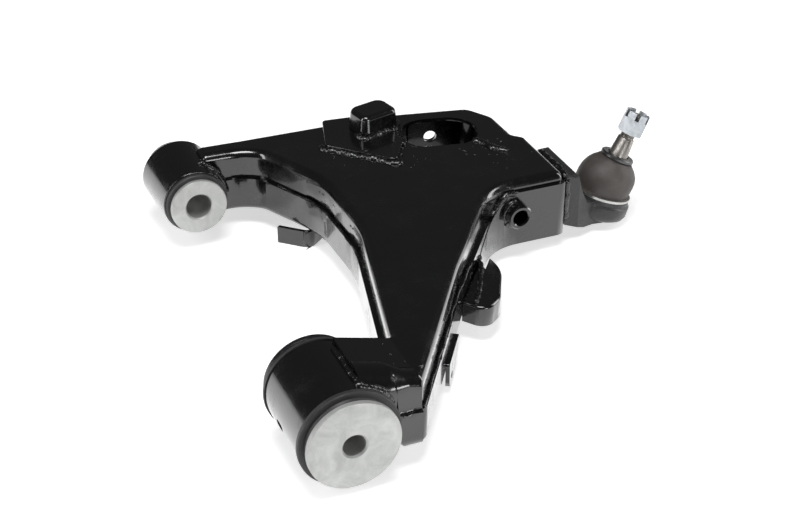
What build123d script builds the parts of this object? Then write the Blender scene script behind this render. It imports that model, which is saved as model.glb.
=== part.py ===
from build123d import *
from math import cos, radians, sin
import os

# Front suspension lower control arm, millimetres.
# Origin: centre of the rear bush bore.  +Y: along both bush bores, from the rear bush
# to the front bush.  +X: outboard, towards the ball joint.  +Z: up.

# ---- pressed shells ----
sheet = 3.5
top_z = 33.0
bottom_z = -27.0
lap_z = 6.0
upper_skirt_z = -12.0
nest_gap = 0.05
rim_radius = 8.0
keel_radius = 6.0

# ---- bush eyes ----
eye_span = 384.2
rear_eye_radius = 41.0
rear_eye_wall = 3.5
rear_eye_length = 72.0
front_eye_radius_near = 30.5
front_eye_radius_far = 33.5
front_eye_wall = 3.4
front_eye_length = 64.0
front_eye_bevel = 3.0
weld_gap = 0.05
running_gap = 0.05
face_gap = 0.4

# ---- bush cartridges ----
rear_bore = 9.3
rear_core_radius = 15.0
rear_washer_radius = 38.1
rear_washer = 5.0
rear_bush_length = 100.0
front_bore = 12.05
front_core_radius = 17.0
front_washer_radius = 26.6
front_washer = 4.0
front_bush_length = 86.0
cartridge_wall = 2.0
bore_bevel = 1.4

# ---- shock absorber pocket ----
pocket_x = 238.0
pocket_y = 337.0
pocket_turn = -12.0
shock_bolt_z = 7.0
shock_bolt_hole = 6.3
shock_thread_radius = 5.4
pocket_near = -24.0
pocket_far = 45.4

# ---- stabiliser link tube ----
link_x = 261.0
link_z = 4.0
link_tube_radius = 11.5
link_tube_bore = 7.25
link_tube_start = 203.0
link_tube_length = 42.0

# ---- ball joint ----
ball_centre = Vector(368.0, 252.0, -18.0)
housing_lean = 18.0
stud_lean = 25.0
ball_radius = 14.0
housing_radius = 31.0
neck_radius = 7.0
taper_big = 10.0
taper_small = 7.9
thread_radius = 6.9
nut_start = 66.0
nut_height = 21.0
nut_flats = 22.0

os.makedirs("parts", exist_ok=True)


def save(block, name):
    """Label a finished sub-part and write its STEP file."""
    block.part.label = name
    export_step(block.part, f"parts/{name}.step")


# Corners of the arm seen from above: x, y and the radius of the corner.
arm_corners = [
    (13, -15, 3), (50, -21, 8), (61, -33, 5), (158, 114, 150), (236, 219, 55), (312, 219, 7),
    (312, 300, 9), (303, 309, 6), (302, 350, 20), (286, 377, 18), (204, 394, 60),
    (60, 397, 30), (14, 399, 4), (14, 374, 3), (50, 372, 40), (68, 362, 26), (102, 292, 90),
    (104, 205, 160), (62, 36, 3), (52, 29, 4), (13, 29, 3),
]


def arm_plan(grow):
    """The arm's outline from above, grown outwards by the given amount."""
    with BuildSketch() as plan:
        with BuildLine():
            Polyline(*[(x, y) for x, y, _ in arm_corners], close=True)
        make_face()
        for x, y, radius in arm_corners:
            fillet(plan.vertices().sort_by_distance((x, y))[0], radius)
        if grow:
            offset(amount=grow, kind=Kind.INTERSECTION)
    return plan.sketch


def y_rod(x, y, z, radius, length):
    """Algebra: a rod along +Y that starts at y, used for clearing room round an axis."""
    place = Plane((x, y, z), x_dir=(1, 0, 0), z_dir=(0, 1, 0))
    return place * Cylinder(radius, length, align=(Align.CENTER, Align.CENTER, Align.MIN))


# ---------------------------------------------------------------- room for the eyes and the link tube
rear_eye_space = y_rod(0, -80, 0, rear_eye_radius + weld_gap, 160)
link_tube_space = y_rod(link_x, 180, link_z, link_tube_radius + weld_gap, 80)
front_eye_start = eye_span - front_eye_length / 2
front_eye_end = eye_span + front_eye_length / 2

with BuildPart() as front_eye_space:
    with BuildSketch(Plane.XY):
        with BuildLine():
            Polyline(
                (0, front_eye_start - 40),
                (front_eye_radius_near + weld_gap, front_eye_start - 40),
                (front_eye_radius_near + weld_gap, front_eye_start),
                (front_eye_radius_far + weld_gap, front_eye_end - front_eye_bevel),
                (front_eye_radius_far + weld_gap, front_eye_end + 40),
                (0, front_eye_end + 40),
                close=True,
            )
        make_face()
    revolve(axis=Axis.Y)

# ---------------------------------------------------------------- shock pocket directions
bolt_plane = Plane(
    (pocket_x, pocket_y, shock_bolt_z),
    x_dir=(cos(radians(pocket_turn)), sin(radians(pocket_turn)), 0),
    z_dir=(-sin(radians(pocket_turn)), cos(radians(pocket_turn)), 0),
)
mouth_plane = Plane((pocket_x, pocket_y, top_z - 12), x_dir=bolt_plane.x_dir, z_dir=(0, 0, 1))

# ---------------------------------------------------------------- upper shell
saddle_line = [(70, 12), (70, top_z), (60, top_z), (13, 45.5), (13, 12)]


def saddle_block(drop, y_low, y_high):
    """The raised end that climbs over the rear eye, thinned by drop for its hollow."""
    with BuildPart() as block:
        with BuildSketch(Plane.XZ.offset(-y_high)):
            with BuildLine():
                Polyline(*[(x, z - drop if z > 12 else z) for x, z in saddle_line], close=True)
            make_face()
        extrude(amount=y_high - y_low)
    return block.part


saddle_outside = saddle_block(0, -15, 29)
saddle_inside = saddle_block(sheet, -15 + sheet, 29 - sheet)

with BuildPart() as upper_hollow:
    with BuildSketch(Plane.XY.offset(upper_skirt_z)):
        add(arm_plan(-sheet))
    extrude(amount=top_z - sheet - upper_skirt_z)
    fillet(upper_hollow.edges().group_by(Axis.Z)[-1], rim_radius - sheet)
    add(saddle_inside)

with BuildPart() as upper_shell:
    with BuildSketch(Plane.XY.offset(upper_skirt_z)):
        add(arm_plan(0))
    extrude(amount=top_z - upper_skirt_z)
    fillet(upper_shell.edges().group_by(Axis.Z)[-1], rim_radius)
    add(saddle_outside)
    add(upper_hollow.part, mode=Mode.SUBTRACT)
    add(rear_eye_space, mode=Mode.SUBTRACT)
    add(front_eye_space.part, mode=Mode.SUBTRACT)
    # mouth of the shock absorber pocket
    with BuildSketch(mouth_plane):
        RectangleRounded(74, 58, 27)
    extrude(amount=20, mode=Mode.SUBTRACT)
    with BuildSketch(bolt_plane):
        Circle(shock_bolt_hole)
    extrude(amount=pocket_far + 20, mode=Mode.SUBTRACT)
    add(link_tube_space, mode=Mode.SUBTRACT)
save(upper_shell, "upper_shell")

# ---------------------------------------------------------------- lower shell
# Seen from the front, the side plate covers this much of the outboard wall.
side_plate_shape = [(186, -30), (192, -16), (210, -3), (224, 1), (240, 13), (252, 24), (312, 24), (312, -30)]
side_plate_sheet = 4.0


def outboard_band(inner, outer, margin):
    """The part of a band around the arm's outline that the side plate's shape covers."""
    with BuildPart() as band:
        with BuildSketch(Plane.XY.offset(bottom_z - 5)):
            add(arm_plan(outer))
            add(arm_plan(inner), mode=Mode.SUBTRACT)
        extrude(amount=60)
        with BuildSketch(Plane.XZ.offset(-232)):
            with BuildLine():
                Polyline(*side_plate_shape, close=True)
            make_face()
            if margin:
                offset(amount=margin, kind=Kind.INTERSECTION)
        extrude(amount=112, mode=Mode.INTERSECT)
    return band.part


shell_outside = sheet + nest_gap
side_plate_room = outboard_band(0, 12, 0.4)
side_plate_blank = outboard_band(nest_gap, nest_gap + side_plate_sheet, 0)

with BuildPart() as lower_hollow:
    with BuildSketch(Plane.XY.offset(bottom_z + sheet)):
        add(arm_plan(nest_gap))
    extrude(amount=lap_z - bottom_z)
    fillet(lower_hollow.edges().group_by(Axis.Z)[0], keel_radius - sheet)

with BuildPart() as lower_shell:
    with BuildSketch(Plane.XY.offset(bottom_z)):
        add(arm_plan(shell_outside))
    extrude(amount=lap_z - bottom_z)
    fillet(lower_shell.edges().group_by(Axis.Z)[0], keel_radius)
    add(lower_hollow.part, mode=Mode.SUBTRACT)
    add(rear_eye_space, mode=Mode.SUBTRACT)
    add(front_eye_space.part, mode=Mode.SUBTRACT)
    # the flange stops short of the side plate, and steps round the shock bolt
    add(side_plate_room, mode=Mode.SUBTRACT)
    with BuildSketch(bolt_plane.offset(pocket_far - 10)):
        Circle(13)
    extrude(amount=30, mode=Mode.SUBTRACT)
    # assembly hole under the shock pocket and two drain holes
    with BuildSketch(Plane.XY.offset(bottom_z - 1)):
        with Locations((pocket_x, pocket_y)):
            Circle(22)
        with Locations((130, 110), (110, 350)):
            Circle(8)
    extrude(amount=sheet + 2, mode=Mode.SUBTRACT)
save(lower_shell, "lower_shell")

# ---------------------------------------------------------------- side plate and link tube
with BuildPart() as side_plate:
    add(side_plate_blank)
    add(link_tube_space, mode=Mode.SUBTRACT)
save(side_plate, "side_plate")

with BuildPart() as link_tube:
    with BuildSketch(Plane.XZ.offset(-link_tube_start)):
        with Locations((link_x, link_z)):
            Circle(link_tube_radius)
            Circle(link_tube_bore, mode=Mode.SUBTRACT)
    extrude(amount=-link_tube_length)
    chamfer(link_tube.edges().filter_by(GeomType.CIRCLE).group_by(Axis.Y)[0], 1)
save(link_tube, "stabiliser_link_tube")

# ---------------------------------------------------------------- eyes
with BuildPart() as rear_eye:
    with BuildSketch(Plane.XY):
        with Locations((rear_eye_radius - rear_eye_wall, -rear_eye_length / 2)):
            Rectangle(rear_eye_wall, rear_eye_length, align=(Align.MIN, Align.MIN))
    revolve(axis=Axis.Y)
    fillet(rear_eye.edges().filter_by(GeomType.CIRCLE), 1)
    with BuildSketch(Plane((-60, 4, -6), x_dir=(0, 1, 0), z_dir=(1, 0, 0))):
        SlotOverall(13, 6)
    extrude(amount=30, mode=Mode.SUBTRACT)
save(rear_eye, "rear_eye")

with BuildPart() as front_eye:
    with BuildSketch(Plane.XY):
        with BuildLine():
            Polyline(
                (front_eye_radius_near - front_eye_wall, front_eye_start),
                (front_eye_radius_near, front_eye_start),
                (front_eye_radius_far, front_eye_end - front_eye_bevel),
                (front_eye_radius_far - 1.5, front_eye_end),
                (front_eye_radius_near - front_eye_wall, front_eye_end),
                close=True,
            )
        make_face()
    revolve(axis=Axis.Y)
    fillet(front_eye.edges().filter_by(GeomType.CIRCLE).group_by(Axis.Y)[0], 1)
save(front_eye, "front_eye")


# ---------------------------------------------------------------- bush cartridges
def turned_ring(y_start, y_end, inner, outer, rounding=0.0, bevel=0.0, bevel_end=0):
    """A ring about the bush axis with rounded outer corners and one bevelled end of its bore."""
    with BuildPart() as ring:
        with BuildSketch(Plane.XY) as profile:
            with Locations(((inner + outer) / 2, (y_start + y_end) / 2)):
                Rectangle(outer - inner, y_end - y_start)
            if rounding:
                fillet(profile.vertices().group_by(Axis.X)[-1], rounding)
            if bevel:
                chamfer(profile.vertices().group_by(Axis.X)[0].sort_by(Axis.Y)[bevel_end], bevel)
        revolve(axis=Axis.Y)
    return ring


def rubber_profile(centre, reach, inner, outer, neck, lip, eye_half):
    """Half outline of a rubber: bonded body, a lip outside each end of the eye, a neck to each washer."""
    lip_start = eye_half + 0.1
    near_side = [
        (inner, -(reach - face_gap)),
        (neck, -(reach - face_gap)),
        (neck + 1.5, -(lip_start + 4.5)),
        (lip - 0.8, -(lip_start + 4)),
        (lip, -(lip_start + 3)),
        (lip, -lip_start),
        (outer, -lip_start),
    ]
    far_side = [(x, -y) for x, y in reversed(near_side)]
    return [(x, centre + y) for x, y in near_side + far_side]


def bush(name, centre, length, bore, core, washer_radius, washer, eye_bore, eye_half, lip):
    """One bush: its steel shell, rubber, core tube and the two washers that close the core."""
    half = length / 2
    shell_inner = eye_bore - cartridge_wall
    shell_half = eye_half - 0.5
    save(turned_ring(centre - shell_half, centre + shell_half, shell_inner, eye_bore), f"{name}_bush_shell")

    outline = rubber_profile(centre, half - washer, core + running_gap, shell_inner, washer_radius - 2.5, lip,
                             eye_half)
    with BuildPart() as rubber:
        with BuildSketch(Plane.XY):
            with BuildLine():
                Polyline(*outline, close=True)
            make_face()
        revolve(axis=Axis.Y)
    save(rubber, f"{name}_bush_rubber")

    save(turned_ring(centre - half + washer, centre + half - washer, bore, core), f"{name}_bush_core")
    rear_washer_ring = turned_ring(centre - half, centre - half + washer, bore, washer_radius, 0.8, bore_bevel, 0)
    save(rear_washer_ring, f"{name}_bush_rear_washer")
    front_washer_ring = turned_ring(centre + half - washer, centre + half, bore, washer_radius, 0.8, bore_bevel, -1)
    save(front_washer_ring, f"{name}_bush_front_washer")


bush("rear", 0, rear_bush_length, rear_bore, rear_core_radius, rear_washer_radius, rear_washer,
     rear_eye_radius - rear_eye_wall, rear_eye_length / 2, 42.0)
bush("front", eye_span, front_bush_length, front_bore, front_core_radius, front_washer_radius, front_washer,
     front_eye_radius_near - front_eye_wall, front_eye_length / 2, 29.0)


# ---------------------------------------------------------------- bump stop seat
def corner_face(corners, grow=0.0):
    """A flat outline from corner points with their own radii, grown by the given amount."""
    with BuildSketch() as flat:
        with BuildLine():
            Polyline(*[(x, y) for x, y, _ in corners], close=True)
        make_face()
        for x, y, radius in corners:
            fillet(flat.vertices().sort_by_distance((x, y))[0], radius)
        if grow:
            offset(amount=grow, kind=Kind.INTERSECTION)
    return flat.sketch


doubler_corners = [(141, 395, 4), (126, 346, 6), (177, 294, 6), (212, 352, 8), (206, 388, 8)]
doubler_sheet = 4.0
doubler_base = top_z + nest_gap

with BuildPart() as doubler:
    with BuildSketch(Plane.XY.offset(doubler_base)):
        add(corner_face(doubler_corners))
    extrude(amount=doubler_sheet)
    with BuildSketch(mouth_plane):
        RectangleRounded(80, 64, 30)
    extrude(amount=30, mode=Mode.SUBTRACT)
    fillet(doubler.faces().sort_by(Axis.Z)[-1].edges(), 1.2)
save(doubler, "bump_stop_doubler")

seat_corners = [(164, 344, 9), (206, 355, 9), (199, 388, 12), (157, 377, 12)]
seat_height = 19.0
seat_sheet = 3.0
seat_base = doubler_base + doubler_sheet + nest_gap

with BuildPart() as seat_hollow:
    with BuildSketch(Plane.XY.offset(seat_base)):
        add(corner_face(seat_corners, -seat_sheet))
    extrude(amount=seat_height - seat_sheet, taper=6)
    fillet(seat_hollow.edges().group_by(Axis.Z)[-1], 2)

with BuildPart() as stop_seat:
    with BuildSketch(Plane.XY.offset(seat_base)):
        add(corner_face(seat_corners))
    extrude(amount=seat_height, taper=6)
    fillet(stop_seat.edges().group_by(Axis.Z)[-1], 5)
    add(seat_hollow.part, mode=Mode.SUBTRACT)
save(stop_seat, "bump_stop_seat")

# ---------------------------------------------------------------- shock absorber brackets inside the pocket
bracket_top = top_z - sheet - nest_gap
bracket_bottom = bottom_z + sheet + nest_gap
bracket_sheet = 4.0
bracket_middle = (bracket_top + bracket_bottom) / 2 - shock_bolt_z

with BuildPart() as inner_bracket:
    with BuildSketch(bolt_plane.offset(pocket_near)):
        with Locations((0, -bracket_middle)):
            Rectangle(84, bracket_top - bracket_bottom)
        Circle(shock_bolt_hole, mode=Mode.SUBTRACT)
    extrude(amount=bracket_sheet)
save(inner_bracket, "shock_inner_bracket")

with BuildPart() as outer_pad:
    with BuildSketch(bolt_plane.offset(pocket_far - 0.1)):
        RectangleRounded(44, 34, 8)
        Circle(shock_bolt_hole, mode=Mode.SUBTRACT)
    extrude(amount=-bracket_sheet)
save(outer_pad, "shock_outer_pad")

with BuildPart() as weld_nut:
    with BuildSketch(bolt_plane.offset(pocket_near - nest_gap)):
        RegularPolygon(9.5, 6, major_radius=False)
        Circle(shock_thread_radius, mode=Mode.SUBTRACT)
    extrude(amount=-10)
    chamfer(weld_nut.edges().filter_by(GeomType.CIRCLE), 0.8)
save(weld_nut, "shock_weld_nut")

# ---------------------------------------------------------------- brackets under and beside the arm
keel_reach = 17.0

with BuildPart() as keel_bracket:
    with BuildSketch(Plane.XY.offset(bottom_z - keel_reach)):
        with BuildLine() as bend:
            FilletPolyline((70, 326), (94, 304), (124, 330), radius=7)
        trace(bend.line, 4)
    extrude(amount=keel_reach - nest_gap)
save(keel_bracket, "underside_bracket")

ear_corners = [(161, 113, 2), (176, 92, 12), (196, 108, 25), (217, 150, 45), (214, 184, 6)]
ear_top = -8.0

with BuildPart() as shell_space:
    with BuildSketch(Plane.XY.offset(bottom_z - 10)):
        add(arm_plan(shell_outside + nest_gap))
    extrude(amount=60)

with BuildPart() as ear_hollow:
    with BuildSketch(Plane.XY.offset(bottom_z - 1)):
        add(corner_face(ear_corners, -sheet))
    extrude(amount=ear_top - sheet - bottom_z + 1)

with BuildPart() as ear:
    with BuildSketch(Plane.XY.offset(bottom_z)):
        add(corner_face(ear_corners))
    extrude(amount=ear_top - bottom_z)
    fillet(ear.faces().sort_by(Axis.Z)[-1].edges(), 3)
    add(ear_hollow.part, mode=Mode.SUBTRACT)
    add(shell_space.part, mode=Mode.SUBTRACT)
    add(side_plate_room, mode=Mode.SUBTRACT)
save(ear, "stop_bracket")

tab_plane = Plane((114, 42, bottom_z), x_dir=(0.5508, 0.8347, 0), z_dir=(0.8347, -0.5508, 0))
tab_corners = [(0, -6, 4), (4, -13, 6), (22, -13, 8), (48, 0, 6), (48, 12, 2), (0, 12, 2)]

with BuildPart() as tab:
    with BuildSketch(tab_plane.offset(0.2)):
        add(corner_face(tab_corners))
        with Locations((12, -5)):
            Circle(3.2, mode=Mode.SUBTRACT)
    extrude(amount=4)
    add(shell_space.part, mode=Mode.SUBTRACT)
save(tab, "hose_tab")

# ---------------------------------------------------------------- ball joint directions
lean = radians(housing_lean)
swing = radians(stud_lean)
housing_axis = Vector(sin(lean), 0, cos(lean))
stud_axis = Vector(sin(swing), 0, cos(swing))
housing_line = Axis(ball_centre, housing_axis)
stud_line = Axis(ball_centre, stud_axis)
# half profiles are drawn with x as the radius and y as the height along the tilted axis
housing_side = Plane(ball_centre, x_dir=(cos(lean), 0, -sin(lean)), z_dir=(0, -1, 0))
stud_side = Plane(ball_centre, x_dir=(cos(swing), 0, -sin(swing)), z_dir=(0, -1, 0))


def turned(side, axis, points):
    """A solid turned about a tilted axis from a half profile of (radius, height) points."""
    with BuildPart() as solid:
        with BuildSketch(side):
            with BuildLine():
                Polyline(*points, close=True)
            make_face()
        revolve(axis=axis)
    return solid


# ---------------------------------------------------------------- ball joint housing and what it holds
cup_bore = 17.0
cover_radius = 20.0
housing_outline = [
    (0, -19), (24, -19), (29, -16), (31, -12), (31, -3), (29, -1), (29, 3), (24.5, 3), (24.5, 5), (20, 8.5), (0, 8.5),
]
cavity_outline = [
    (0, -25), (cover_radius, -25), (cover_radius, -15.5), (cup_bore, -15.5), (cup_bore, 7), (12.4, 7), (17, 12),
    (0, 12),
]
ball_cavity = turned(housing_side, housing_line, cavity_outline)
neck_side = [(315.8, -25), (315.8, 26), (328, 26), (333, 8), (341, -9), (368, -18), (362, -37), (338, -34)]
neck_plan = [(315, 222), (330, 222), (350, 229), (376, 231), (376, 273), (350, 275), (330, 284), (315, 284)]

with BuildPart() as housing:
    with BuildSketch(Plane.XZ.offset(-200)):
        with BuildLine():
            Polyline(*neck_side, close=True)
        make_face()
    extrude(amount=-100)
    with BuildSketch(Plane.XY.offset(-60)):
        with BuildLine():
            Polyline(*neck_plan, close=True)
        make_face()
    extrude(amount=120, mode=Mode.INTERSECT)
    fillet(housing.edges().group_by(Axis.Z)[-1], 4)
    with BuildSketch(housing_side):
        with BuildLine():
            Polyline(*housing_outline, close=True)
        make_face()
    revolve(axis=housing_line)
    add(ball_cavity.part, mode=Mode.SUBTRACT)
save(housing, "ball_joint_housing")

with BuildPart() as ball_seat:
    with BuildSketch(housing_side):
        with BuildLine():
            Polyline((0, -15.4), (cup_bore - 0.05, -15.4), (cup_bore - 0.05, 6.9), (0, 6.9), close=True)
        make_face()
    revolve(axis=housing_line)
    with Locations(ball_centre):
        Sphere(ball_radius + running_gap, mode=Mode.SUBTRACT)
save(ball_seat, "ball_seat")

cover_outline = [(0, -18.6), (cover_radius - 0.1, -18.6), (cover_radius - 0.1, -16.2), (16, -15.6), (0, -15.6)]
save(turned(housing_side, housing_line, cover_outline), "housing_cover")
save(turned(housing_side, housing_line, [(26.2, 3.1), (29.2, 3.1), (29.2, 5.4), (26.2, 5.4)]), "boot_clamp_ring")

# ---------------------------------------------------------------- dust boot
boot_foot = [(24.7, 3.1), (26.1, 3.1), (26.1, 6), (28.4, 8.5), (28.4, 12), (26.2, 12), (26, 9.5), (24.7, 8)]

with BuildPart() as boot:
    with BuildSketch(housing_side):
        with BuildLine():
            Polyline(*boot_foot, close=True)
        make_face()
    revolve(axis=housing_line)
    with BuildSketch(stud_side):
        with BuildLine():
            ThreePointArc((28.2, 10), (29.2, 22), (15, 38.2))
            Line((15, 38.2), (11, 38.2))
            Line((11, 38.2), (11, 36.2))
            Line((11, 36.2), (14, 36.2))
            ThreePointArc((14, 36.2), (27.1, 22), (26.2, 10))
            Line((26.2, 10), (28.2, 10))
        make_face()
    revolve(axis=stud_line)
save(boot, "dust_boot")

lip_outline = [(10.6, 38.5), (15.4, 38.5), (16.2, 39.6), (16.2, 41.6), (15.2, 42.6), (10.4, 42.6)]
save(turned(stud_side, stud_line, lip_outline), "boot_lip_ring")

# ---------------------------------------------------------------- ball stud and castle nut
taper_start = 34.0
taper_end = 60.0
thread_end = 85.0
neck_height = (ball_radius**2 - neck_radius**2) ** 0.5

with BuildPart() as stud:
    with Locations(ball_centre):
        Sphere(ball_radius)
    with BuildSketch(stud_side):
        with BuildLine():
            Polyline((0, neck_height - 2), (neck_radius, neck_height - 2), (neck_radius, 22), (taper_big, taper_start - 5),
                     (taper_big, taper_start), (taper_small, taper_end), (thread_radius, taper_end + 1),
                     (thread_radius, thread_end - 1.5), (thread_radius - 1.5, thread_end), (0, thread_end), close=True)
        make_face()
    revolve(axis=stud_line)
    split(bisect_by=Plane(ball_centre - stud_axis * 12.5, z_dir=stud_axis), keep=Keep.TOP)
save(stud, "ball_stud")

nut_plane = Plane(ball_centre + stud_axis * nut_start, x_dir=(cos(swing), 0, -sin(swing)), z_dir=stud_axis)
slot_width = 4.0
slot_depth = 6.5

with BuildPart() as nut:
    with BuildSketch(nut_plane):
        RegularPolygon(nut_flats / 2, 6, major_radius=False)
        Circle(thread_radius + nest_gap, mode=Mode.SUBTRACT)
    extrude(amount=nut_height)
    with BuildSketch(nut_plane.offset(nut_height - slot_depth)):
        with PolarLocations(0, 3):
            Rectangle(nut_flats * 1.5, slot_width)
    extrude(amount=slot_depth + 1, mode=Mode.SUBTRACT)
save(nut, "castle_nut")
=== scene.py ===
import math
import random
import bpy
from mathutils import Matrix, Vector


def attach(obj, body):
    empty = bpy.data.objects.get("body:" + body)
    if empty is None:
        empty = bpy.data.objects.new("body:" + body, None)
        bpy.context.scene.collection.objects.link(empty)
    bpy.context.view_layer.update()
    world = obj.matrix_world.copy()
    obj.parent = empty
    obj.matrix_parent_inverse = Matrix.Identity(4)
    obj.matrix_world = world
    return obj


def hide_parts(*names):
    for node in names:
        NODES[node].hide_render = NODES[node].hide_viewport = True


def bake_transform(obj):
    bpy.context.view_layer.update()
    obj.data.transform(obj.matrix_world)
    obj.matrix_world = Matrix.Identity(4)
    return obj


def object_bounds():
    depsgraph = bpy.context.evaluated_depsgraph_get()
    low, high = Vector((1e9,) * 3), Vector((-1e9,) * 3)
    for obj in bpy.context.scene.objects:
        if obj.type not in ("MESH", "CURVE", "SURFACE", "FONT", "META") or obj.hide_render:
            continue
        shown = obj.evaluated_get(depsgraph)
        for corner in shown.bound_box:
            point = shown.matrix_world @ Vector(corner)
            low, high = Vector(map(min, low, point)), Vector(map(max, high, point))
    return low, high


bl_info = {
    "name": "Front lower control arm",
    "version": (1, 0, 0),
    "blender": (4, 5, 0),
    "location": "3D View > Sidebar > Control arm",
    "description": "Finishes, welds, ball joint boot and studio for a boxed steel suspension arm",
    "category": "Object",
}

import bpy
from bpy.props import FloatProperty, FloatVectorProperty, PointerProperty
from mathutils import Matrix, Vector
from mathutils.bvhtree import BVHTree

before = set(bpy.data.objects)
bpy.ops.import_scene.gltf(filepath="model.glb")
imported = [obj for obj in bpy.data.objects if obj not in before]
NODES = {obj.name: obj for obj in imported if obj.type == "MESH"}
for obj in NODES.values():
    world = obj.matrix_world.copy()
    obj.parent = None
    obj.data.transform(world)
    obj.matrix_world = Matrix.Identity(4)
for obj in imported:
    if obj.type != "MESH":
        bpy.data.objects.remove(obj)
CAD_BOX = [list(corner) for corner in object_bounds()]

MM = 0.001

# ---- directions and sizes shared with the solids, in metres ----
BALL_CENTRE = Vector((0.368, 0.252, -0.018))
HOUSING_LEAN = math.radians(18.0)
STUD_LEAN = math.radians(25.0)
STUD_AXIS = Vector((math.sin(STUD_LEAN), 0.0, math.cos(STUD_LEAN)))
TOP_Z = 0.033
FLOOR_Z = CAD_BOX[0][2] - 0.0002

PRESSINGS = ("upper_shell", "lower_shell")
BRACKETS = (
    "side_plate", "bump_stop_doubler", "bump_stop_seat", "shock_inner_bracket", "shock_outer_pad",
    "shock_weld_nut", "underside_bracket", "stop_bracket", "hose_tab",
)
TUBES = ("rear_eye", "front_eye", "stabiliser_link_tube")
REAR_BUSH_STEEL = ("rear_bush_shell", "rear_bush_core", "rear_bush_rear_washer", "rear_bush_front_washer")
FRONT_BUSH_STEEL = ("front_bush_shell", "front_bush_core", "front_bush_rear_washer", "front_bush_front_washer")
FAR_WASHERS = ("rear_bush_front_washer", "front_bush_front_washer")
BUSH_RUBBERS = ("rear_bush_rubber", "front_bush_rubber")


# ------------------------------------------------------------------ node helpers
def new_material(name, colour, roughness, metallic=0.0):
    """A material with one Principled shader, and its tree."""
    material = bpy.data.materials.new(name)
    material.use_nodes = True
    shader = material.node_tree.nodes["Principled BSDF"]
    shader.inputs["Base Color"].default_value = (*colour, 1.0)
    shader.inputs["Roughness"].default_value = roughness
    shader.inputs["Metallic"].default_value = metallic
    return material, material.node_tree, shader


def place(tree, position=None):
    """The coordinates that a pattern is laid out in: object space, in metres."""
    coordinates = tree.nodes.new("ShaderNodeTexCoord")
    if position is None:
        return coordinates.outputs["Object"]
    mapping = tree.nodes.new("ShaderNodeMapping")
    mapping.inputs["Location"].default_value = position
    tree.links.new(coordinates.outputs["Object"], mapping.inputs["Vector"])
    return mapping.outputs["Vector"]


def noise(tree, where, scale, detail=3.0, roughness=0.55, distortion=0.0):
    """A fractal noise value."""
    node = tree.nodes.new("ShaderNodeTexNoise")
    node.inputs["Scale"].default_value = scale
    node.inputs["Detail"].default_value = detail
    node.inputs["Roughness"].default_value = roughness
    node.inputs["Distortion"].default_value = distortion
    tree.links.new(where, node.inputs["Vector"])
    return node.outputs["Fac"]


def cells(tree, where, scale, randomness=1.0, feature="F1"):
    """The distance to scattered points."""
    node = tree.nodes.new("ShaderNodeTexVoronoi")
    node.feature = feature
    node.inputs["Scale"].default_value = scale
    node.inputs["Randomness"].default_value = randomness
    tree.links.new(where, node.inputs["Vector"])
    return node.outputs["Distance"]


def spread(tree, value, low, high, to_low=0.0, to_high=1.0):
    """A value taken from one range to another, and kept inside it."""
    node = tree.nodes.new("ShaderNodeMapRange")
    node.inputs["From Min"].default_value = low
    node.inputs["From Max"].default_value = high
    node.inputs["To Min"].default_value = to_low
    node.inputs["To Max"].default_value = to_high
    tree.links.new(value, node.inputs["Value"])
    return node.outputs["Result"]


def combine(tree, operation, first, second):
    """Two values, or a value and a number, put together."""
    node = tree.nodes.new("ShaderNodeMath")
    node.operation = operation
    tree.links.new(first, node.inputs[0])
    if isinstance(second, (int, float)):
        node.inputs[1].default_value = second
    else:
        tree.links.new(second, node.inputs[1])
    return node.outputs["Value"]


def blend_colours(tree, factor, first, second):
    """A colour between two fixed colours."""
    node = tree.nodes.new("ShaderNodeMix")
    node.data_type = "RGBA"
    node.inputs["A"].default_value = (*first, 1.0)
    node.inputs["B"].default_value = (*second, 1.0)
    tree.links.new(factor, node.inputs["Factor"])
    return node.outputs["Result"]


def bump(tree, shader, height, distance, strength=1.0, under=None):
    """A bump of the given depth in metres, laid over an earlier one."""
    node = tree.nodes.new("ShaderNodeBump")
    node.inputs["Strength"].default_value = strength
    node.inputs["Distance"].default_value = distance
    tree.links.new(height, node.inputs["Height"])
    if under is not None:
        tree.links.new(under, node.inputs["Normal"])
    tree.links.new(node.outputs["Normal"], shader.inputs["Normal"])
    return node.outputs["Normal"]


def dress(names, material):
    """Puts a finish in every material slot of the named solids."""
    for name in names:
        node = NODES[name]
        for index in range(len(node.material_slots)):
            node.material_slots[index].material = material
        if not node.material_slots:
            node.data.materials.append(material)


def seen_directly(tree):
    """One for camera, glossy and transmission rays, and zero for the light that falls on the object."""
    path = tree.nodes.new("ShaderNodeLightPath")
    either = combine(tree, "MAXIMUM", path.outputs["Is Camera Ray"], path.outputs["Is Glossy Ray"])
    return combine(tree, "MAXIMUM", either, path.outputs["Is Transmission Ray"])


def soften_edges(names, width):
    """Gives the sharp edges of the named solids the small radius that pressed and painted steel has."""
    for name in names:
        weld = NODES[name].modifiers.new("join_facets", "WELD")
        weld.merge_threshold = 1e-5
        rounding = NODES[name].modifiers.new("small_radius", "BEVEL")
        rounding.width = width
        rounding.segments = 2
        rounding.limit_method = "ANGLE"
        rounding.angle_limit = math.radians(40.0)
        rounding.harden_normals = True


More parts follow.
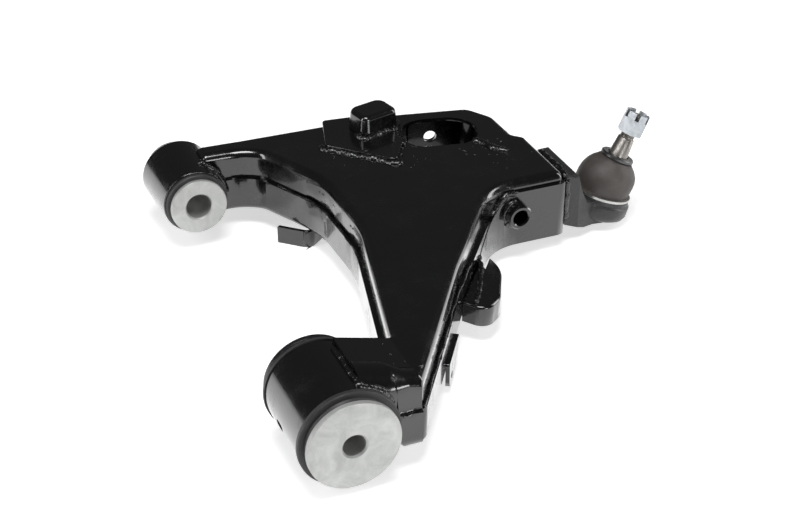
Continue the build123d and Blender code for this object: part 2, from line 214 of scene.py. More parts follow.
# ------------------------------------------------------------------ finishes
def gloss_paint(name, colour, roughness, peel, dents):
    """Black dipped paint over pressed steel: gentle waviness, orange peel, specks and dull patches."""
    material, tree, shader = new_material(name, colour, roughness)
    where = place(tree)
    patches = noise(tree, where, 38.0, 4.0, 0.6)
    scuffs = noise(tree, where, 210.0, 6.0, 0.7, 0.6)
    cloud = combine(tree, "MULTIPLY", spread(tree, patches, 0.42, 0.7), scuffs)
    tree.links.new(spread(tree, cloud, 0.1, 0.55, roughness, roughness + 0.2), shader.inputs["Roughness"])
    dust = combine(tree, "MULTIPLY", spread(tree, scuffs, 0.55, 0.8), spread(tree, patches, 0.5, 0.75))
    dull = [channel + 0.006 for channel in colour]
    tree.links.new(blend_colours(tree, dust, colour, dull), shader.inputs["Base Color"])
    shader.inputs["Coat Weight"].default_value = 1.0
    shader.inputs["Coat Roughness"].default_value = 0.07
    wave = noise(tree, where, 16.0, 2.0, 0.45)
    first = bump(tree, shader, wave, 0.0022 * dents)
    dimples = spread(tree, cells(tree, where, 62.0), 0.0, 0.30, 1.0, 0.0)
    sparse = combine(tree, "MULTIPLY", dimples, spread(tree, noise(tree, where, 27.0, 2.0), 0.56, 0.66))
    second = bump(tree, shader, sparse, 0.00035, 0.9, first)
    peel_height = noise(tree, where, 520.0, 2.0, 0.5)
    bump(tree, shader, peel_height, 0.00011 * peel, 0.8, second)
    return material


def weld_paint(name, colour, roughness):
    """The same paint over weld metal, uneven and less smooth."""
    material, tree, shader = new_material(name, colour, roughness)
    where = place(tree)
    grain = noise(tree, where, 480.0, 4.0, 0.6)
    tree.links.new(spread(tree, grain, 0.3, 0.7, roughness - 0.08, roughness + 0.1), shader.inputs["Roughness"])
    shader.inputs["Coat Weight"].default_value = 0.6
    shader.inputs["Coat Roughness"].default_value = 0.12
    bump(tree, shader, grain, 0.0005, 0.9)
    return material


def forged_paint(name, colour, roughness):
    """Satin paint over the pitted skin of a forging."""
    material, tree, shader = new_material(name, colour, roughness)
    where = place(tree)
    pits = noise(tree, where, 260.0, 5.0, 0.65)
    blotches = noise(tree, where, 60.0, 3.0, 0.5)
    tree.links.new(spread(tree, blotches, 0.3, 0.7, roughness - 0.08, roughness + 0.12), shader.inputs["Roughness"])
    worn = [channel + 0.02 for channel in colour]
    tree.links.new(blend_colours(tree, spread(tree, pits, 0.55, 0.8), colour, worn), shader.inputs["Base Color"])
    bump(tree, shader, pits, 0.0005, 0.7)
    return material


def bush_metal(name, colour, roughness):
    """Phosphated steel end faces: matt pale grey with faint smears and tool marks."""
    material, tree, shader = new_material(name, colour, roughness, 0.55)
    where = place(tree)
    smears = noise(tree, where, 48.0, 5.0, 0.62, 1.2)
    grains = noise(tree, where, 900.0, 3.0, 0.6)
    mixed = combine(tree, "ADD", combine(tree, "MULTIPLY", smears, 0.8), combine(tree, "MULTIPLY", grains, 0.2))
    dark = [channel * 0.8 for channel in colour]
    light = [min(1.0, channel * 1.08) for channel in colour]
    tree.links.new(blend_colours(tree, spread(tree, mixed, 0.34, 0.66), dark, light), shader.inputs["Base Color"])
    tree.links.new(spread(tree, mixed, 0.3, 0.7, roughness + 0.1, roughness - 0.08), shader.inputs["Roughness"])
    bump(tree, shader, grains, 0.00006, 0.6)
    return material


def moulded_rubber(name, colour, roughness, grain=1.0):
    """Moulded rubber with a fine skin and a little bloom."""
    material, tree, shader = new_material(name, colour, roughness)
    where = place(tree)
    bloom = noise(tree, where, 55.0, 5.0, 0.6, 0.4)
    fine = noise(tree, where, 950.0, 3.0, 0.6)
    pale = [channel * 1.7 + 0.006 for channel in colour]
    tree.links.new(blend_colours(tree, spread(tree, bloom, 0.45, 0.8), colour, pale), shader.inputs["Base Color"])
    tree.links.new(spread(tree, bloom, 0.3, 0.7, roughness - 0.06, roughness + 0.08), shader.inputs["Roughness"])
    bump(tree, shader, fine, 0.00009 * grain, 0.7)
    return material


def turned_steel(name, colour, roughness, rings=True):
    """Machined steel with faint turning marks round the stud's own axis."""
    material, tree, shader = new_material(name, colour, roughness, 0.9)
    where = place(tree)
    stains = noise(tree, where, 90.0, 4.0, 0.6)
    dark = [channel * 0.72 for channel in colour]
    tree.links.new(blend_colours(tree, spread(tree, stains, 0.35, 0.7), colour, dark), shader.inputs["Base Color"])
    tree.links.new(spread(tree, stains, 0.3, 0.7, roughness, roughness + 0.12), shader.inputs["Roughness"])
    if rings:
        height = tree.nodes.new("ShaderNodeVectorMath")
        height.operation = "DOT_PRODUCT"
        height.inputs[1].default_value = tuple(STUD_AXIS)
        tree.links.new(where, height.inputs[0])
        wave = tree.nodes.new("ShaderNodeMath")
        wave.operation = "SINE"
        tree.links.new(combine(tree, "MULTIPLY", height.outputs["Value"], 14000.0), wave.inputs[0])
        bump(tree, shader, wave.outputs["Value"], 0.00003, 0.5)
    return material


def zinc_plate(name, colour, roughness):
    """Zinc plate with a fine mottle."""
    material, tree, shader = new_material(name, colour, roughness, 0.85)
    where = place(tree)
    mottle = noise(tree, where, 240.0, 4.0, 0.6)
    dull = [channel * 0.78 for channel in colour]
    tree.links.new(blend_colours(tree, spread(tree, mottle, 0.4, 0.75), colour, dull), shader.inputs["Base Color"])
    tree.links.new(spread(tree, mottle, 0.3, 0.7, roughness - 0.06, roughness + 0.1), shader.inputs["Roughness"])
    bump(tree, shader, mottle, 0.00008, 0.5)
    return material


# ------------------------------------------------------------------ mesh helpers
def build_mesh(name, points, faces, smooth=True):
    """A mesh object in the row frame."""
    mesh = bpy.data.meshes.new(name)
    mesh.from_pydata([tuple(point) for point in points], [], faces)
    mesh.update()
    for polygon in mesh.polygons:
        polygon.use_smooth = smooth
    made = bpy.data.objects.new(name, mesh)
    bpy.context.collection.objects.link(made)
    return made


def skin_of(*names):
    """A search tree over the named solids' surfaces."""
    points, faces = [], []
    for name in names:
        node = NODES[name]
        start = len(points)
        points.extend(node.matrix_world @ vertex.co for vertex in node.data.vertices)
        faces.extend([start + index for index in polygon.vertices] for polygon in node.data.polygons)
    return BVHTree.FromPolygons(points, faces)


def smooth_path(corners, step):
    """Points along a smooth curve through the corners, evenly apart."""
    dense = []
    padded = [corners[0]] + list(corners) + [corners[-1]]
    for a, b, c, d in zip(padded, padded[1:], padded[2:], padded[3:]):
        for index in range(24):
            t = index / 24
            dense.append(0.5 * (2 * b + (c - a) * t + (2 * a - 5 * b + 4 * c - d) * t**2
                                + (3 * b - a - 3 * c + d) * t**3))
    dense.append(corners[-1])
    points, travelled, target = [dense[0]], 0.0, step
    for first, second in zip(dense, dense[1:]):
        length = (second - first).length
        while length > 0 and travelled + length >= target:
            points.append(first.lerp(second, (target - travelled) / length))
            target += step
        travelled += length
    return points


def frame_rings(axis):
    """Two directions square to an axis."""
    side = axis.orthogonal().normalized()
    return side, axis.cross(side)


def lathe(name, centre, axis, profile, segments, closed=False):
    """A turned mesh from (radius, height) pairs in metres; a radius of zero closes to one point."""
    side, across = frame_rings(axis)
    points, rows, faces = [], [], []
    for radius, height in profile:
        if radius < 1e-7:
            rows.append([len(points)] * segments)
            points.append(centre + axis * height)
            continue
        rows.append(list(range(len(points), len(points) + segments)))
        for index in range(segments):
            angle = 2 * math.pi * index / segments
            points.append(centre + axis * height + (side * math.cos(angle) + across * math.sin(angle)) * radius)
    pairs = list(zip(rows, rows[1:]))
    if closed:
        pairs.append((rows[-1], rows[0]))
    for low, high in pairs:
        for index in range(segments):
            following = (index + 1) % segments
            corners = [low[index], low[following], high[following], high[index]]
            unique = list(dict.fromkeys(corners))
            if len(unique) > 2:
                faces.append(unique)
    return build_mesh(name, points, faces)


# ------------------------------------------------------------------ weld beads
def bead(name, corners, width, height, skin, lift, seed, pitch=0.0034):
    """A weld bead with overlapping ripples that follows a seam on the given surfaces."""
    chance = random.Random(seed)
    step = 0.0007
    path = smooth_path([Vector(corner) * MM for corner in corners], step)
    section = 12
    points, faces, rows = [], [], []
    wander = [chance.uniform(0, 2 * math.pi) for _ in range(4)]
    for index, spot in enumerate(path):
        near, normal, _, _ = skin.find_nearest(spot)
        before = path[max(0, index - 1)]
        after = path[min(len(path) - 1, index + 1)]
        along = (after - before).normalized()
        up = Vector(lift).normalized() if lift is not None else normal
        up = (up - along * up.dot(along)).normalized()
        across = along.cross(up)
        travelled = index * step
        ripple = (travelled / pitch) % 1.0
        swell = 1 + 0.10 * math.sin(travelled * 260 + wander[0]) + 0.07 * math.sin(travelled * 610 + wander[1])
        drift = 0.0006 * math.sin(travelled * 190 + wander[2])
        end = min(1.0, (index + 1) * step / (width * 0.5), (len(path) - index) * step / (width * 0.5))
        end = math.sqrt(max(0.02, 1 - (1 - end) ** 2))
        row = []
        for corner in range(section):
            angle = 2 * math.pi * corner / section
            bulge = 1 + 0.13 * (1 - ripple) * max(0.0, math.sin(angle))
            lag = along * (-0.0011 * (1 - abs(math.cos(angle))))
            offset = across * (math.cos(angle) * width / 2 * swell * end + drift)
            rise = up * (math.sin(angle) * height * swell * end * bulge)
            row.append(len(points))
            points.append(near + offset + rise + lag)
        rows.append(row)
    for low, high in zip(rows, rows[1:]):
        for corner in range(section):
            following = (corner + 1) % section
            faces.append([low[corner], low[following], high[following], high[corner]])
    faces.append(list(reversed(rows[0])))
    faces.append(list(rows[-1]))
    return build_mesh(name, points, faces)


WELDS = (
    # name, width mm, height mm, lift, surfaces, corners in mm
    ("seat_weld_front", 6.0, 2.6, (-0.2, -0.8, 0.9), ("bump_stop_doubler", "bump_stop_seat"),
     ((159, 352, 38), (164, 343, 38), (172, 344, 38), (188, 349, 38), (206, 353.5, 38))),
    ("doubler_weld_left", 7.0, 2.8, (-0.4, -0.7, 0.9), ("upper_shell", "bump_stop_doubler"),
     ((125, 350, 34), (125, 344, 34), (140, 329, 34), (158, 311, 34), (177, 292.5, 34), (182, 300, 34),
      (186, 308, 34))),
    ("doubler_weld_right", 6.5, 2.6, (0.6, -0.3, 0.9), ("upper_shell", "bump_stop_doubler"),
     ((196, 324, 34), (203, 337, 34), (207, 343, 34))),
    ("pocket_weld_upper", 7.5, 2.6, (0.0, 0.0, 1.0), ("upper_shell",),
     ((262, 309, 33), (268, 299, 33), (272, 289, 33), (283, 276, 33))),
    ("side_plate_weld", 6.0, 2.6, (0.1, -0.9, 0.7), ("upper_shell", "side_plate"),
     ((262, 216, 25.5), (252, 215, 24), (246, 214, 18), (239, 213, 12), (231, 212, 6), (224, 211, 1),
      (210, 208, -3), (198, 200, -11), (192, 197, -16))),
    ("link_tube_weld", 5.5, 2.6, (0.0, -1.0, 0.25), ("side_plate", "stabiliser_link_tube"),
     tuple((261 + 12.6 * math.cos(angle), 214.6, 4 + 12.6 * math.sin(angle))
           for angle in [math.radians(value) for value in range(95, 305, 18)])),
    ("front_eye_weld_top", 8.0, 3.4, (0.6, -0.6, 0.6), ("upper_shell", "front_eye"),
     ((12, 372, 33), (14, 368, 30), (22, 366, 26), (28, 364, 18), (31, 363, 8), (31, 362, -4))),
    ("rear_eye_weld_front", 8.0, 3.6, (0.2, -0.7, 0.8), ("rear_eye",),
     ((9, -29, 40), (14, -31, 38.5), (20, -31.8, 36), (27, -32, 31), (33, -32, 24.5), (38, -32, 15.5))),
    ("rear_eye_weld_side", 6.0, 2.6, (-1.0, 0.1, 0.9), ("rear_eye",),
     ((12.6, -30, 40), (12.5, -22, 40), (12.5, -12, 40.5), (12.4, 0, 41), (12.4, 14, 41), (12.6, 27, 41))),
    ("rear_eye_weld_back", 8.0, 3.2, (0.2, 0.7, 0.8), ("upper_shell", "rear_eye"),
     ((14, 29.4, 40), (24, 29.5, 34), (34, 29.5, 23), (40, 29.6, 9), (41, 29.6, -6))),
    ("neck_weld_top", 8.0, 3.4, (0.9, 0.0, 0.8), ("ball_joint_housing", "upper_shell"),
     ((316.5, 226, 24), (316.5, 238, 25), (316.5, 252, 25.5), (316.5, 266, 25), (316.5, 280, 24))),
    ("neck_weld_front", 7.5, 3.2, (0.9, -0.6, 0.0),
     ("ball_joint_housing", "upper_shell", "lower_shell", "side_plate"),
     ((316.5, 222, 22), (316.5, 221.5, 10), (316.5, 221.5, -4), (316.5, 221.5, -18))),
    ("lap_weld_inner", 2.6, 0.9, (-0.9, 0.0, 0.6), ("upper_shell", "lower_shell"),
     ((72, 60, 6), (82, 100, 6), (90, 134, 6), (97, 165, 6), (100, 200, 6), (101, 240, 6), (99, 285, 6),
      (90, 312, 6), (76, 342, 6))),
    ("lap_weld_outer", 3.0, 1.1, (0.8, -0.6, 0.6), ("upper_shell", "lower_shell"),
     ((64, -32, 6), (90, 8, 6), (118, 50, 6), (142, 88, 6), (168, 124, 6), (186, 148, 6))),
    ("link_bracket_weld", 5.5, 2.4, (0.7, -0.7, 0.4), ("stop_bracket", "lower_shell"),
     ((171, 106, -8), (186, 130, -7.5), (200, 158, -7.5), (207, 172, -8))),
)


def spatter(name, groups, skin, seed):
    """Small drops of weld metal left on the sheet: each group is a box in mm with its count."""
    chance = random.Random(seed)
    points, faces = [], []
    for low, high, count in groups:
        for _ in range(count):
            spot = Vector([chance.uniform(a, b) for a, b in zip(low, high)]) * MM
            near, normal, _, _ = skin.find_nearest(spot)
            radius = chance.choice((0.0005, 0.0006, 0.0008, 0.0011))
            side, across = frame_rings(normal)
            start = len(points)
            rings = ((1.0, -0.4), (0.95, 0.15), (0.6, 0.55))
            for scale, lift in rings:
                for index in range(7):
                    angle = 2 * math.pi * index / 7
                    points.append(near + normal * (lift * radius)
                                  + (side * math.cos(angle) + across * math.sin(angle)) * (radius * scale))
            points.append(near + normal * (0.75 * radius))
            for ring in range(2):
                for index in range(7):
                    following = (index + 1) % 7
                    a, b = start + ring * 7, start + ring * 7 + 7
                    faces.append([a + index, a + following, b + following, b + index])
            for index in range(7):
                faces.append([start + 14 + index, start + 14 + (index + 1) % 7, start + 21])
            faces.append([start + index for index in reversed(range(7))])
    return build_mesh(name, points, faces)


SPATTER_ZONES = (
    ((120, 300, 33), (175, 345, 33), 16),
    ((180, 280, 33), (215, 330, 33), 14),
    ((240, 255, 33), (285, 310, 33), 26),
    ((215, 170, 33), (258, 215, 33), 22),
    ((64, 110, 20), (96, 300, 20), 30),
    ((20, -14, 36), (60, 28, 36), 12),
    ((250, 222, 28), (308, 300, 33), 12),
    ((100, 0, 0), (160, 110, 25), 12),
)


# ------------------------------------------------------------------ settings
class PaintSettings(bpy.types.PropertyGroup):
    """Paint on the pressings, brackets, tubes and the forging."""

    colour: FloatVectorProperty(
        name="Paint colour", description="Colour of the dipped paint", subtype="COLOR", size=3,
        min=0.0, max=1.0, default=(0.0042, 0.0042, 0.0048))
    roughness: FloatProperty(
        name="Roughness", description="Roughness of the paint", subtype="FACTOR", min=0.02, max=1.0, default=0.17)
    peel: FloatProperty(
        name="Orange peel", description="Depth of the paint's fine waviness", subtype="FACTOR",
        min=0.0, max=2.0, default=1.0)
    dents: FloatProperty(
        name="Sheet waviness", description="Depth of the sheet's broad waviness", subtype="FACTOR",
        min=0.0, max=2.0, default=1.0)


    edge: FloatProperty(
        name="Edge radius", description="Small radius on the sharp edges of the sheet", subtype="DISTANCE",
        unit="LENGTH", min=0.0, max=0.003, default=0.0008)


class BushSettings(bpy.types.PropertyGroup):
    """Finish of both bushes."""

    steel: FloatVectorProperty(
        name="Steel colour", description="Colour of the bushes' steel end faces", subtype="COLOR", size=3,
        min=0.0, max=1.0, default=(0.56, 0.57, 0.555))
    rubber: FloatVectorProperty(
        name="Rubber colour", description="Colour of the bushes' rubber", subtype="COLOR", size=3,
        min=0.0, max=1.0, default=(0.030, 0.030, 0.030))


class BallJointSettings(bpy.types.PropertyGroup):
    """Finish and sizes of the ball joint's visible parts."""

    boot: FloatVectorProperty(
        name="Boot colour", description="Colour of the dust boot", subtype="COLOR", size=3,
        min=0.0, max=1.0, default=(0.070, 0.062, 0.058))
    stud: FloatVectorProperty(
        name="Stud colour", description="Colour of the bare stud", subtype="COLOR", size=3,
        min=0.0, max=1.0, default=(0.36, 0.34, 0.32))
    zinc: FloatVectorProperty(
        name="Nut colour", description="Colour of the plated castle nut", subtype="COLOR", size=3,
        min=0.0, max=1.0, default=(0.50, 0.53, 0.56))
    thread_pitch: FloatProperty(
        name="Thread pitch", description="Pitch of the stud's thread", unit="LENGTH",
        min=0.0005, max=0.004, default=0.0015)


class StudioSettings(bpy.types.PropertyGroup):
    """Floor, light and camera."""

    floor: FloatVectorProperty(
        name="Floor colour", description="Colour of the plain floor", subtype="COLOR", size=3,
        min=0.0, max=1.0, default=(0.93, 0.93, 0.93))
    glow: FloatProperty(
        name="Floor white", description="How far the floor is lifted to white where it is seen", min=0.0, max=1.0,
        default=0.6)
    fill: FloatProperty(
        name="Fill light", description="Strength of the even light from all round", min=0.0, max=3.0, default=0.05)
    key: FloatProperty(
        name="Key light", description="Power of the large lamp overhead", unit="POWER", min=0.0, max=200.0,
        default=14.0)


# ------------------------------------------------------------------ pieces
class CONTROLARM_OT_paint(bpy.types.Operator):
    """Paints the pressings, brackets and tubes"""

    bl_idname = "control_arm.paint"
    bl_label = "Paint the arm"

    def execute(self, context):
        settings = context.scene.control_arm_paint
        colour = tuple(settings.colour)
        shell = gloss_paint("dipped_paint_pressings", colour, settings.roughness, settings.peel, settings.dents)
        dress(PRESSINGS, shell)
        plate = gloss_paint("dipped_paint_brackets", colour, settings.roughness + 0.03, settings.peel,
                            settings.dents * 0.7)
        dress(BRACKETS, plate)
        tube = gloss_paint("dipped_paint_tubes", colour, settings.roughness + 0.02, settings.peel,
                           settings.dents * 0.5)
        dress(TUBES, tube)
        forging = forged_paint("painted_forging", [channel + 0.028 for channel in colour],
                               settings.roughness + 0.16)
        dress(("ball_joint_housing", "housing_cover"), forging)
        soften_edges(PRESSINGS + BRACKETS + ("ball_joint_housing",), settings.edge)
        return {"FINISHED"}


class CONTROLARM_OT_apron(bpy.types.Operator):
    """Rounds the front of the end that climbs over the rear eye"""

    bl_idname = "control_arm.apron"
    bl_label = "Round the rear end"

    def execute(self, context):
        made = apron()
        made.data.materials.append(NODES["upper_shell"].material_slots[0].material)
        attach(made, "arm")
        return {"FINISHED"}


class CONTROLARM_OT_bushes(bpy.types.Operator):
    """Finishes the steel and rubber of both bushes"""

    bl_idname = "control_arm.bushes"
    bl_label = "Finish the bushes"

    def execute(self, context):
        settings = context.scene.control_arm_bushes
        steel = bush_metal("phosphated_steel", tuple(settings.steel), 0.46)
        dress(REAR_BUSH_STEEL + FRONT_BUSH_STEEL, steel)
        dress(FAR_WASHERS, forged_paint("painted_washers", (0.012, 0.012, 0.014), 0.3))
        dress(BUSH_RUBBERS, moulded_rubber("bush_rubber", tuple(settings.rubber), 0.48))
        return {"FINISHED"}


class CONTROLARM_OT_welds(bpy.types.Operator):
    """Lays the weld beads and their spatter"""

    bl_idname = "control_arm.welds"
    bl_label = "Lay the welds"

    def execute(self, context):
        settings = context.scene.control_arm_paint
        finish = weld_paint("dipped_paint_welds", tuple(settings.colour), settings.roughness + 0.08)
        for seed, (name, width, height, lift, surfaces, corners) in enumerate(WELDS, 1):
            made = bead(name, corners, width * MM, height * MM, skin_of(*surfaces), lift, seed)
            made.data.materials.append(finish)
            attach(made, "arm")
        drops = spatter("weld_spatter", SPATTER_ZONES, skin_of("upper_shell", "lower_shell"), 77)
        drops.data.materials.append(finish)
        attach(drops, "arm")
        return {"FINISHED"}


# Front of the end over the rear eye, in mm: its left and right ends, its front wall, the step at the lap, how far
# back and how far down its rounding runs at the left and at the right, the eye's radius, and the sheet
APRON_LEFT = 13.4
APRON_RIGHT = 61.2
APRON_FRONT = -33.2
APRON_STEP = 3.8
APRON_ROUNDING = ((23.0, 15.0), (13.0, 9.0))
APRON_EYE = 41.15
APRON_SHEET = 2.0
APRON_ROWS = 40
SADDLE_SLOPE = 12.5 / 47.0
SADDLE_END = 60.0
RIM_RADIUS = 8.0


def rim_drop(x, y):
    """How far the shell's rounded rim has fallen at a point near the outboard wall."""
    wall = 61.0 + 0.66 * (y + 33.0)
    short = min(RIM_RADIUS, max(0.0, RIM_RADIUS - 0.835 * (wall - x)))
    return RIM_RADIUS - math.sqrt(RIM_RADIUS**2 - short**2)


def apron_profile(x):
    """Points (y, z) down the front of the end over the rear eye at one x, from its crest to its foot."""
    crest = TOP_Z / MM + max(0.0, (SADDLE_END - x) * SADDLE_SLOPE) + 0.5
    share = min(1.0, max(0.0, (x - 38.0) / 12.0))
    reach, drop = [left + (right - left) * share for left, right in zip(*APRON_ROUNDING)]
    start = APRON_FRONT + reach
    path = [(start + 5.0, crest - 0.8), (start + 2.5, crest - 0.2)]
    for step in range(19):
        angle = math.radians(90.0 * step / 18)
        path.append((start - reach * math.sin(angle), crest - drop * (1 - math.cos(angle))))
    if x > 50.0:
        path = [(y, min(z, crest - rim_drop(x, y))) for y, z in path]
    if x <= APRON_EYE:
        foot = math.sqrt(APRON_EYE**2 - x**2)
        path.append((APRON_FRONT, min(foot, path[-1][1] - 0.01)))
        return [(y, max(z, foot)) for y, z in path]
    low = -14.0 - min(4.6, x - APRON_EYE) * 1.2
    path += [(APRON_FRONT, 8.0), (APRON_FRONT - 0.2, 6.6), (APRON_FRONT - APRON_STEP, 6.0),
             (APRON_FRONT - APRON_STEP, low), (APRON_FRONT - APRON_STEP + 1.8, low - 4.2),
             (APRON_FRONT - APRON_STEP + 6.0, low - 6.0)]
    return path


def spread_evenly(path, count):
    """The same number of points along any path of (y, z) pairs."""
    lengths = [0.0]
    for (a, b), (c, d) in zip(path, path[1:]):
        lengths.append(lengths[-1] + math.hypot(c - a, d - b))
    result, part = [], 0
    for index in range(count):
        target = lengths[-1] * index / (count - 1)
        while part < len(path) - 2 and lengths[part + 1] < target:
            part += 1
        span = max(1e-9, lengths[part + 1] - lengths[part])
        share = min(1.0, (target - lengths[part]) / span)
        result.append((path[part][0] + (path[part + 1][0] - path[part][0]) * share,
                       path[part][1] + (path[part + 1][1] - path[part][1]) * share))
    return result


def apron():
    """A closed thin sheet over the front of the end that climbs onto the rear eye."""
    columns = [APRON_LEFT + (APRON_EYE - APRON_LEFT) * index / 24 for index in range(25)]
    columns += [APRON_EYE + 0.05 + (APRON_RIGHT - APRON_EYE) * index / 16 for index in range(17)]
    rows = APRON_ROWS
    outer, inner = [], []
    for x in columns:
        path = spread_evenly(apron_profile(x), rows)
        for index, (y, z) in enumerate(path):
            before, after = path[max(0, index - 1)], path[min(rows - 1, index + 1)]
            along = Vector((0.0, after[0] - before[0], after[1] - before[1]))
            inward = Vector((0.0, -along.z, along.y))
            inward = inward.normalized() if inward.length > 1e-6 else Vector((0.0, 0.0, -1.0))
            outer.append(Vector((x, y, z)) * MM)
            inner.append((Vector((x, y, z)) + inward * APRON_SHEET) * MM)
    points = outer + inner
    faces, back = [], len(outer)
    width = len(columns)
    for column in range(width - 1):
        for row in range(rows - 1):
            a, b = column * rows + row, (column + 1) * rows + row
            faces.append([a, a + 1, b + 1, b])
            faces.append([back + a, back + b, back + b + 1, back + a + 1])
    for column in range(width - 1):
        for row in (0, rows - 1):
            a, b = column * rows + row, (column + 1) * rows + row
            faces.append([a, b, back + b, back + a] if row == 0 else [b, a, back + a, back + b])
    for row in range(rows - 1):
        for column in (0, width - 1):
            a = column * rows + row
            faces.append([a, back + a, back + a + 1, a + 1] if column == 0 else [a, a + 1, back + a + 1, back + a])
    made = build_mesh("saddle_apron", points, faces)
    made.data.set_sharp_from_angle(angle=math.radians(50.0))
    return made


class CONTROLARM_OT_ball_joint(bpy.types.Operator):
    """Finishes the ball joint and its nut, and makes its boot and its stud with a thread"""

    bl_idname = "control_arm.ball_joint"
    bl_label = "Finish the ball joint"

    def execute(self, context):
        settings = context.scene.control_arm_ball_joint
        self.make_boot(tuple(settings.boot))
        self.make_stud(tuple(settings.stud), settings.thread_pitch)
        dress(("castle_nut",), zinc_plate("zinc_plate", tuple(settings.zinc), 0.34))
        ring = turned_steel("ring_steel", (0.6, 0.6, 0.58), 0.24, rings=False)
        dress(("boot_clamp_ring",), ring)
        dress(("boot_lip_ring",), turned_steel("lip_ring_steel", (0.12, 0.12, 0.12), 0.3, rings=False))
        dress(("ball_seat",), moulded_rubber("seat_plastic", (0.72, 0.71, 0.66), 0.4))
        return {"FINISHED"}

    def make_boot(self, colour):
        """A domed rubber boot whose foot leans with the housing and whose neck leans to the stud's axis."""
        outside = [(26.2, 6.0), (26.9, 8.4), (27.5, 12), (27.6, 17), (26.9, 22.5), (24.9, 28), (21.6, 32.6),
                   (17.9, 36.0), (15.9, 38.3), (15.0, 38.3)]
        inside = [(11.1, 38.3), (11.1, 36.4), (12.8, 35.2), (16.2, 33.0), (19.9, 30), (23.0, 26.0), (24.9, 21.8),
                  (25.6, 17), (25.5, 12.5), (25.2, 9.5), (24.8, 8.0), (24.8, 3.2), (26.0, 3.2)]
        boot = lathe("rubber_boot", Vector(), Vector((0, 0, 1)),
                     [(radius * MM, height * MM) for radius, height in outside + inside], 96, closed=True)
        low, high = 7.0 * MM, 30.0 * MM
        for vertex in boot.data.vertices:
            share = min(1.0, max(0.0, (vertex.co.z - low) / (high - low)))
            share = share * share * (3 - 2 * share)
            lean = HOUSING_LEAN + (STUD_LEAN - HOUSING_LEAN) * share
            turned = Matrix.Rotation(lean, 3, "Y") @ vertex.co
            vertex.co = BALL_CENTRE + turned
        rubber = moulded_rubber("boot_rubber", colour, 0.52)
        boot.data.materials.append(rubber)
        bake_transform(boot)
        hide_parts("dust_boot")

    def make_stud(self, colour, pitch):
        """The stud with a cut thread, turned on its own axis."""
        plain = [(0, -12.5), (6.3, -12.5)]
        for degrees in range(-62, 60, 6):
            angle = math.radians(degrees)
            plain.append((14 * math.cos(angle), 14 * math.sin(angle)))
        plain += [(7.0, 12.4), (7.0, 22), (8.0, 25), (9.6, 28.6), (10.0, 29.6), (10.0, 34), (7.9, 60), (6.3, 61)]
        body = lathe("stud_shank", BALL_CENTRE, STUD_AXIS,
                     [(radius * MM, height * MM) for radius, height in plain + [(0, 61)]], 72)
        steel = turned_steel("stud_steel", colour, 0.3)
        body.data.materials.append(steel)
        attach(body, "stud")
        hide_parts("ball_stud")
        thread = self.make_thread(pitch)
        thread.data.materials.append(steel)
        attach(thread, "stud")

    def make_thread(self, pitch):
        """A single-start thread from the taper's small end to the stud's tip."""
        side, across = frame_rings(STUD_AXIS)
        segments, rows_per_pitch = 48, 8
        start, end = 0.0606, 0.085
        root, crest = 0.00605, 0.00688
        count = int((end - start) / pitch * rows_per_pitch)
        points, faces = [], []
        for row in range(count + 1):
            height = start + (end - start) * row / count
            tip = min(1.0, max(0.0, (end - height) / 0.0016))
            for index in range(segments):
                turn = index / segments
                phase = ((height - start) / pitch - turn) % 1.0
                ridge = 1 - abs(2 * phase - 1)
                ridge = min(1.0, max(0.0, (ridge - 0.12) / 0.76))
                radius = root + (crest - root) * ridge * tip - 0.0006 * (1 - tip)
                angle = 2 * math.pi * turn
                points.append(BALL_CENTRE + STUD_AXIS * height
                              + (side * math.cos(angle) + across * math.sin(angle)) * radius)
        for row in range(count):
            for index in range(segments):
                following = (index + 1) % segments
                low, high = row * segments, (row + 1) * segments
                faces.append([low + index, low + following, high + following, high + index])
        faces.append(list(reversed(range(segments))))
        faces.append([count * segments + index for index in range(segments)])
        return build_mesh("stud_thread", points, faces)


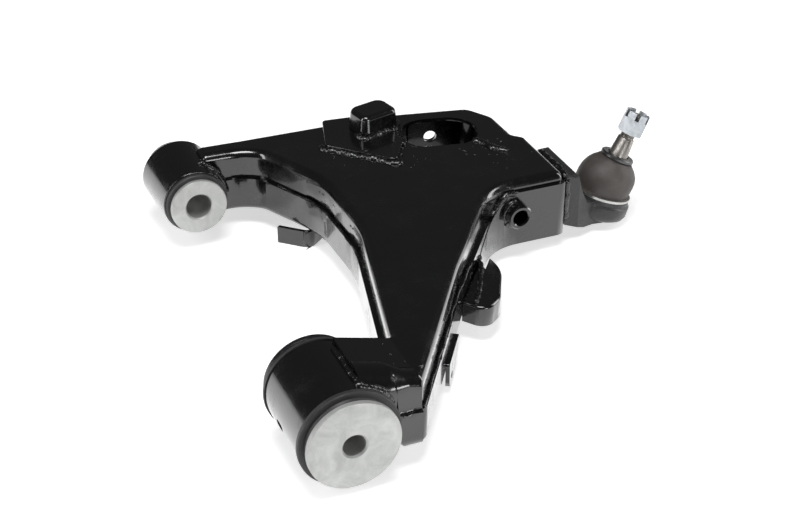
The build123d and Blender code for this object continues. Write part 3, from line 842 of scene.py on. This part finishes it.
class CONTROLARM_OT_studio(bpy.types.Operator):
    """Sets the floor, the soft lights and the camera"""

    bl_idname = "control_arm.studio"
    bl_label = "Set the studio"

    def execute(self, context):
        settings = context.scene.control_arm_studio
        self.make_floor(tuple(settings.floor), settings.glow)
        self.make_world(settings.fill)
        self.make_lamps(settings.key)
        self.make_camera(context)
        context.scene.view_settings.view_transform = "Standard"
        return {"FINISHED"}

    def make_floor(self, colour, glow):
        """A wide plain floor that shows as white and takes the object's shadow."""
        size = 6.0
        floor = build_mesh("studio_floor", [(-size, -size, FLOOR_Z), (size, -size, FLOOR_Z), (size, size, FLOOR_Z),
                                            (-size, size, FLOOR_Z)], [[0, 1, 2, 3]], smooth=False)
        material, tree, shader = new_material("studio_floor", colour, 0.9)
        shader.inputs["Specular IOR Level"].default_value = 0.1
        shader.inputs["Emission Color"].default_value = (1.0, 1.0, 1.0, 1.0)
        tree.links.new(combine(tree, "MULTIPLY", seen_directly(tree), glow), shader.inputs["Emission Strength"])
        floor.data.materials.append(material)

    def make_world(self, fill):
        """Even light from all round, seen as white by the camera."""
        world = bpy.data.worlds.new("studio_world")
        bpy.context.scene.world = world
        world.use_nodes = True
        tree = world.node_tree
        background = tree.nodes["Background"]
        background.inputs["Color"].default_value = (1.0, 1.0, 1.0, 1.0)
        path = tree.nodes.new("ShaderNodeLightPath")
        strength = spread(tree, path.outputs["Is Camera Ray"], 0.0, 1.0, fill, 1.0)
        tree.links.new(strength, background.inputs["Strength"])

    def make_lamps(self, power):
        """A large lamp overhead, a strip on each side and a smaller one in front."""
        target = Vector((0.18, 0.2, 0.0))
        lamps = (
            ("overhead_lamp", (-0.1, -0.1, 1.5), 0.8, 0.45, power),
            ("left_lamp", (-1.15, 0.25, 0.6), 0.3, 1.2, power * 0.5),
            ("right_lamp", (1.5, 0.1, 0.5), 0.3, 1.2, power * 0.4),
            ("front_lamp", (0.55, -1.5, 0.5), 0.7, 0.4, power * 0.55),
        )
        for name, location, width, height, watts in lamps:
            data = bpy.data.lights.new(name, "AREA")
            data.shape = "RECTANGLE"
            data.size = width
            data.size_y = height
            data.energy = watts
            lamp = bpy.data.objects.new(name, data)
            lamp.location = location
            lamp.rotation_euler = (target - Vector(location)).to_track_quat("-Z", "Y").to_euler()
            bpy.context.collection.objects.link(lamp)

    def make_camera(self, context):
        """The camera that looks at the rear bush's side of the arm from above."""
        data = bpy.data.cameras.new("main_camera")
        data.lens = 80.23
        data.sensor_width = 36.0
        data.clip_end = 20.0
        camera = bpy.data.objects.new("main_camera", data)
        right = Vector((0.92393, -0.38256, 0.0))
        up = Vector((0.19916, 0.48100, 0.85381))
        back = right.cross(up)
        turn = Matrix((right, up, back)).transposed().to_4x4()
        camera.matrix_world = Matrix.Translation((-0.3721, -1.0212, 0.7920)) @ turn
        bpy.context.collection.objects.link(camera)
        context.scene.camera = camera


class CONTROLARM_PT_panel(bpy.types.Panel):
    """The steps that dress the arm, in order"""

    bl_idname = "CONTROLARM_PT_panel"
    bl_label = "Control arm"
    bl_space_type = "VIEW_3D"
    bl_region_type = "UI"
    bl_category = "Control arm"

    def draw(self, context):
        scene = context.scene
        for owner, fields, step in (
            (scene.control_arm_paint, ("colour", "roughness", "peel", "dents", "edge"), CONTROLARM_OT_paint),
            (scene.control_arm_bushes, ("steel", "rubber"), CONTROLARM_OT_bushes),
            (scene.control_arm_ball_joint, ("boot", "stud", "zinc", "thread_pitch"), CONTROLARM_OT_ball_joint),
            (scene.control_arm_studio, ("floor", "glow", "fill", "key"), CONTROLARM_OT_studio),
        ):
            box = self.layout.box()
            for field in fields:
                box.prop(owner, field)
            box.operator(step.bl_idname)
        for step in (CONTROLARM_OT_apron, CONTROLARM_OT_welds):
            self.layout.operator(step.bl_idname)


CLASSES = (
    PaintSettings, BushSettings, BallJointSettings, StudioSettings, CONTROLARM_OT_paint, CONTROLARM_OT_apron,
    CONTROLARM_OT_bushes, CONTROLARM_OT_welds, CONTROLARM_OT_ball_joint, CONTROLARM_OT_studio,
    CONTROLARM_PT_panel,
)


def register():
    for item in CLASSES:
        bpy.utils.register_class(item)
    bpy.types.Scene.control_arm_paint = PointerProperty(type=PaintSettings)
    bpy.types.Scene.control_arm_bushes = PointerProperty(type=BushSettings)
    bpy.types.Scene.control_arm_ball_joint = PointerProperty(type=BallJointSettings)
    bpy.types.Scene.control_arm_studio = PointerProperty(type=StudioSettings)


def unregister():
    del bpy.types.Scene.control_arm_studio
    del bpy.types.Scene.control_arm_ball_joint
    del bpy.types.Scene.control_arm_bushes
    del bpy.types.Scene.control_arm_paint
    for item in reversed(CLASSES):
        bpy.utils.unregister_class(item)


def main():
    register()
    bpy.ops.control_arm.paint()
    bpy.ops.control_arm.apron()
    bpy.ops.control_arm.bushes()
    bpy.ops.control_arm.welds()
    bpy.ops.control_arm.ball_joint()
    bpy.ops.control_arm.studio()


if __name__ == "__main__":
    main()
